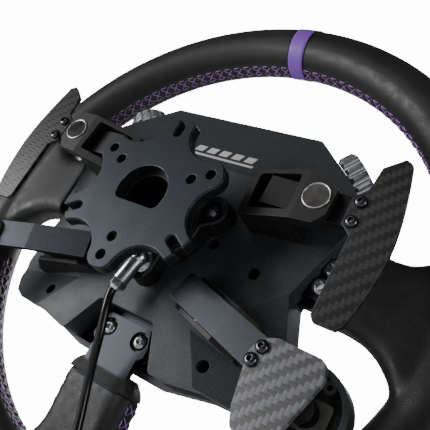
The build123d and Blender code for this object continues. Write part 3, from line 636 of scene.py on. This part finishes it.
def make_leather(materials):
    """One skin over the rim and its three spokes, flowing from one into the other."""
    grip = [[rim_point(turn, around) for around in circle_angles(TUBE_SIDES)]
            for turn in circle_angles(TUBE_STEPS)]
    parts = [rings_to_mesh("tube", grip, closed=True),
             rings_to_mesh("spoke_r", spoke_rings(1)),
             rings_to_mesh("spoke_l", spoke_rings(-1)),
             rings_to_mesh("spoke_b", bottom_rings())]
    skin = evaluated(merge_meshes("skin", parts), [
        ("REMESH", {"mode": "VOXEL", "voxel_size": SKIN_VOXEL}),
        ("SMOOTH", {"factor": 0.5, "iterations": 14}),
        ("SUBSURF", {"levels": 1, "render_levels": 1})])
    for vertex in skin.vertices:
        place = vertex.co
        out = math.hypot(place.x, place.z)
        around = math.atan2(place.y + RIM_DEPTH, RIM_RADIUS - out)
        from_seam = abs(around) * GRIP_RADIUS
        if from_seam < SEAM_REACH and stitched(math.atan2(place.z, place.x)):
            groove = math.exp(-(from_seam / SEAM_WIDTH) ** 2) * SEAM_DEPTH
            rows = math.exp(-((from_seam - STITCH_HALF) / ROW_WIDTH) ** 2) * ROW_DEPTH
            vertex.co = place + Vector((place.x / out, 0, place.z / out)) * (groove + rows)
    piece = add_piece("leather_wrap", skin, materials["black_leather"])
    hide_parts("rim_grip", "spoke_wrap_right", "spoke_wrap_left", "spoke_wrap_bottom")
    return piece


def stitched(turn):
    """True where the rim's inner line is free of the spokes."""
    degrees = math.degrees(turn)
    return not any(low < degrees < high or low < degrees + 360 < high for low, high in SPOKE_ARCS)


# stitched arcs of the rim, in degrees, and the short one under the twelve o'clock band
RIM_RUNS = [(27, 88), (92, 153), (-23, -72), (-157, -108)]
BAND_RUN = (87.9, 92.1)
# the stitched edge of the bottom spoke: across, up and depth in millimetres
BOTTOM_SEAM = [(41.5, -120.5, 62), (34, -121.5, 61.5), (27.5, -118.5, 60), (23.6, -112.5, 58.5),
               (21.6, -105, 56.3), (21.3, -95, 54.8), (21.2, -84, 53.4)]
STITCH_STEPS, STITCH_SUNK = 6, 0.0004
CROSS_RADIUS, UNDER_LIFT, OVER_LIFT = 0.00027, 0.00022, 0.00045
ROW_RADIUS, ROW_LIFT, ROW_START, ROW_END = 0.00031, 0.00035, 0.12, 0.72


def seam_path_rim(start, end):
    steps = round(abs(math.radians(end - start)) * (RIM_RADIUS - GRIP_RADIUS) / STITCH_PITCH)
    return [rim_point(math.radians(start + (end - start) * i / steps), 0) for i in range(steps + 1)]


def seam_path_bottom(side):
    """Up the side edge of the bottom spoke, from the rim to the collar, at the stitches' pitch."""
    line = [Vector((side * x, -depth, z)) / 1000 for x, z, depth in BOTTOM_SEAM]
    points, spare = [line[0]], 0.0
    for before, after in zip(line, line[1:]):
        length = (after - before).length
        at = STITCH_PITCH - spare
        while at <= length:
            points.append(before.lerp(after, at / length))
            at += STITCH_PITCH
        spare = length - (at - STITCH_PITCH)
    return points


def make_stitching(skin):
    """Crossed threads over the seam, and a row of short stitches on each side of it."""
    tree = BVHTree.FromObject(skin, bpy.context.evaluated_depsgraph_get())

    def on_skin(point, lift):
        place, normal, _, _ = tree.find_nearest(point)
        return place + normal * lift

    def stitch(threads, start, end, lift):
        path = []
        for i in range(STITCH_STEPS + 1):
            share = i / STITCH_STEPS
            rise = lift * math.sin(math.pi * share) ** 0.5 - STITCH_SUNK * (i in (0, STITCH_STEPS))
            path.append(on_skin(start.lerp(end, share), rise))
        threads.lay(path)

    crosses, dashes = Threads(CROSS_RADIUS), Threads(ROW_RADIUS)
    half = Vector((0, STITCH_HALF, 0))
    paths = [seam_path_rim(start, end) for start, end in RIM_RUNS]
    paths += [seam_path_bottom(1), seam_path_bottom(-1), seam_path_rim(*BAND_RUN)]
    for path in paths:
        for here, there in zip(path, path[1:]):
            back, front = here + half, here - half
            next_back, next_front = there + half, there - half
            stitch(crosses, back, next_front, UNDER_LIFT)
            stitch(crosses, front, next_back, OVER_LIFT)
            for a, b in ((back, next_back), (front, next_front)):
                stitch(dashes, a.lerp(b, ROW_START), a.lerp(b, ROW_END), ROW_LIFT)
    purple = thread("thread_purple", (0.38, 0.17, 0.54), (0.58, 0.29, 0.76)).material
    add_piece("cross_stitches", crosses.mesh("cross_stitches"), purple)
    add_piece("row_stitches", dashes.mesh("row_stitches"), purple)


BAND_HALF = math.radians(2.2) * RIM_RADIUS
# across the band: share of its half width, and lift off the grip
BAND_PROFILE = [(-1.0, -0.0006), (-0.985, 0.0000), (-0.94, 0.00028), (-0.6, 0.00036), (0.0, 0.0004),
                (0.6, 0.00036), (0.94, 0.00028), (0.985, 0.0000), (1.0, -0.0006)]
BAND_STEPS, BAND_RIPPLE, BAND_RIPPLES = 160, 0.00010, 40
# thin near-black lines of painted shade in the crease along each long edge of the band
SHADE_LINE_STEPS, SHADE_LINE_RADIUS, SHADE_LINE_OUT, SHADE_LINE_LIFT = 120, 0.0003, 0.0002, 0.0001
TWELVE = math.pi / 2        # the turn of twelve o'clock


def make_marker(materials):
    """The twelve o'clock band: a strip of leather laid round the grip, its long edges turned in."""
    rings = []
    for around in circle_angles(BAND_STEPS):
        ripple = BAND_RIPPLE * math.sin(around * BAND_RIPPLES)
        ring = []
        for share, lift in BAND_PROFILE:
            aside = share * BAND_HALF + math.copysign(ripple, share)
            ring.append(rim_point(TWELVE + aside / RIM_RADIUS, around, lift))
        rings.append(ring)
    mesh = bpy.data.meshes.new("marker_strip")
    count, wide = len(rings), len(BAND_PROFILE)
    faces = [(i * wide + j, i * wide + j + 1, (i + 1) % count * wide + j + 1, (i + 1) % count * wide + j)
             for i in range(count) for j in range(wide - 1)]
    mesh.from_pydata([tuple(p) for ring in rings for p in ring], [], faces)
    piece = add_piece("marker_strip", mesh, materials["purple_leather"])
    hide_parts("marker_band")
    # painted shade: a thin near-black tube laid in the crease along each long edge of the band
    shade_lines = Threads(SHADE_LINE_RADIUS)
    for side in (-1, 1):
        line = [rim_point(TWELVE + side * (BAND_HALF + SHADE_LINE_OUT) / RIM_RADIUS, around, SHADE_LINE_LIFT)
                for around in circle_angles(SHADE_LINE_STEPS)]
        shade_lines.lay(line + [line[0]])
    # the tubes' near-black leather, darker than the grip's, is painted shade
    dark = leather("painted_groove_shade", grey(0.003), grey(0.006)).material
    add_piece("marker_shade_lines", shade_lines.mesh("marker_shade_lines"), dark)


COLLAR_TOP, COLLAR_HEIGHT, COLLAR_STEPS = 0.0746, 0.0082, 60
COLLAR_WIDTH, COLLAR_WIDENING = 0.0316, 0.0098
COLLAR_THICKNESS, COLLAR_THICKENING = 0.0106, 0.0046
COLLAR_DEPTH, COLLAR_LEAN, COLLAR_CORNER = 0.0515, 0.0013, 0.0036
BINDING_SWELL, BINDING_WAVES, BINDING_TUCK = 0.00012, 22, 0.0010


def make_collar(materials):
    """Binding wound round the bottom spoke where its leather ends."""
    rings = []
    for i in range(COLLAR_STEPS + 1):
        share = i / COLLAR_STEPS
        flare = math.sin(share * math.pi / 2) ** 0.8
        down = COLLAR_TOP + COLLAR_HEIGHT * share
        swell = BINDING_SWELL * math.sin(share * math.pi * BINDING_WAVES)
        if i in (0, COLLAR_STEPS):
            swell -= BINDING_TUCK
        width = COLLAR_WIDTH + COLLAR_WIDENING * flare + 2 * swell
        thick = COLLAR_THICKNESS + COLLAR_THICKENING * flare + 2 * swell
        rings.append([Vector((p, -COLLAR_DEPTH - COLLAR_LEAN * share + q, -down))
                      for p, q in rounded_ring(width, thick, COLLAR_CORNER)])
    piece = add_piece("collar_binding", rings_to_mesh("collar_binding", rings), materials["black_leather"])
    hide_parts("spoke_collar")


# ---------------------------------------------------------------- small marks
SLOPE_FOOT = Vector((0, -0.037, 0.040))
SLOPE_UP = Vector((0, -0.0104, 0.050)).normalized()
SLOPE_OUT = Vector((0, 0.050, 0.0104)).normalized()


# each bar's start, end, foot and height on the slope, in millimetres: a long one, then five blocks
BLOCK_PITCH = 8.2
BARS = [(-22.0, 19.0, 5.2, 1.5)]
BARS += [(-20.5 + BLOCK_PITCH * i, -14.9 + BLOCK_PITCH * i, 8.2, 4.0) for i in range(5)]
BAR_SLANT = 0.35            # sideways lean for each unit of height
BAR_SUNK, BAR_PROUD = 0.0001, 0.00012


def make_marks():
    """Plain bars printed on the cover's sloping upper face."""
    bars = bmesh.new()
    for start, end, base, height in BARS:
        lean, top = BAR_SLANT * height, base + height
        outline = ((start, base), (end, base), (end - lean, top), (start - lean, top))
        corners = [SLOPE_FOOT + Vector((x, 0, 0)) / 1000 + SLOPE_UP * up / 1000 for x, up in outline]
        lower = [bars.verts.new(p - SLOPE_OUT * BAR_SUNK) for p in corners]
        upper = [bars.verts.new(p + SLOPE_OUT * BAR_PROUD) for p in corners]
        bars.faces.new(upper)
        for i in range(4):
            bars.faces.new((lower[i], lower[(i + 1) % 4], upper[(i + 1) % 4], upper[i]))
    bmesh.ops.recalc_face_normals(bars, faces=bars.faces)
    mesh = bpy.data.meshes.new("cover_bars")
    bars.to_mesh(mesh)
    bars.free()
    white = plastic("print_white", (0.62, 0.62, 0.61), (0.80, 0.80, 0.79), 0.40, 0.55).material
    add_piece("cover_bars", mesh, white, smooth=False)


MAGNET_X, MAGNET_Y, MAGNET_Z = 0.0758, -0.0111, 0.0271
# a bright steel ring that stands in for the highlight on each magnet's edge
GLINT_RADIUS, GLINT_WIDTH, GLINT_HEIGHT = 0.0061, 0.00045, 0.0003
GLINT_STEPS, GLINT_SIDES = 64, 10


def make_magnet_glints(materials):
    """A bright steel ring round each shifter magnet, a painted highlight on the magnet's edge."""
    for side, word in ((1, "right"), (-1, "left")):
        centre = Vector((side * MAGNET_X, MAGNET_Y, MAGNET_Z))
        rings = []
        for angle in circle_angles(GLINT_STEPS):
            out = Vector((math.cos(angle), 0, math.sin(angle)))
            rings.append([centre + out * (GLINT_RADIUS + GLINT_WIDTH * math.cos(a))
                          + Vector((0, GLINT_HEIGHT * math.sin(a), 0)) for a in circle_angles(GLINT_SIDES)])
        mesh = rings_to_mesh("magnet_glint_" + word, rings, closed=True)
        add_piece("magnet_glint_" + word, mesh, materials["steel"])


make_camera()
make_studio()
materials = make_materials()
make_cable(materials)
skin = make_leather(materials)
make_stitching(skin)
make_marker(materials)
make_collar(materials)
make_marks()
make_magnet_glints(materials)
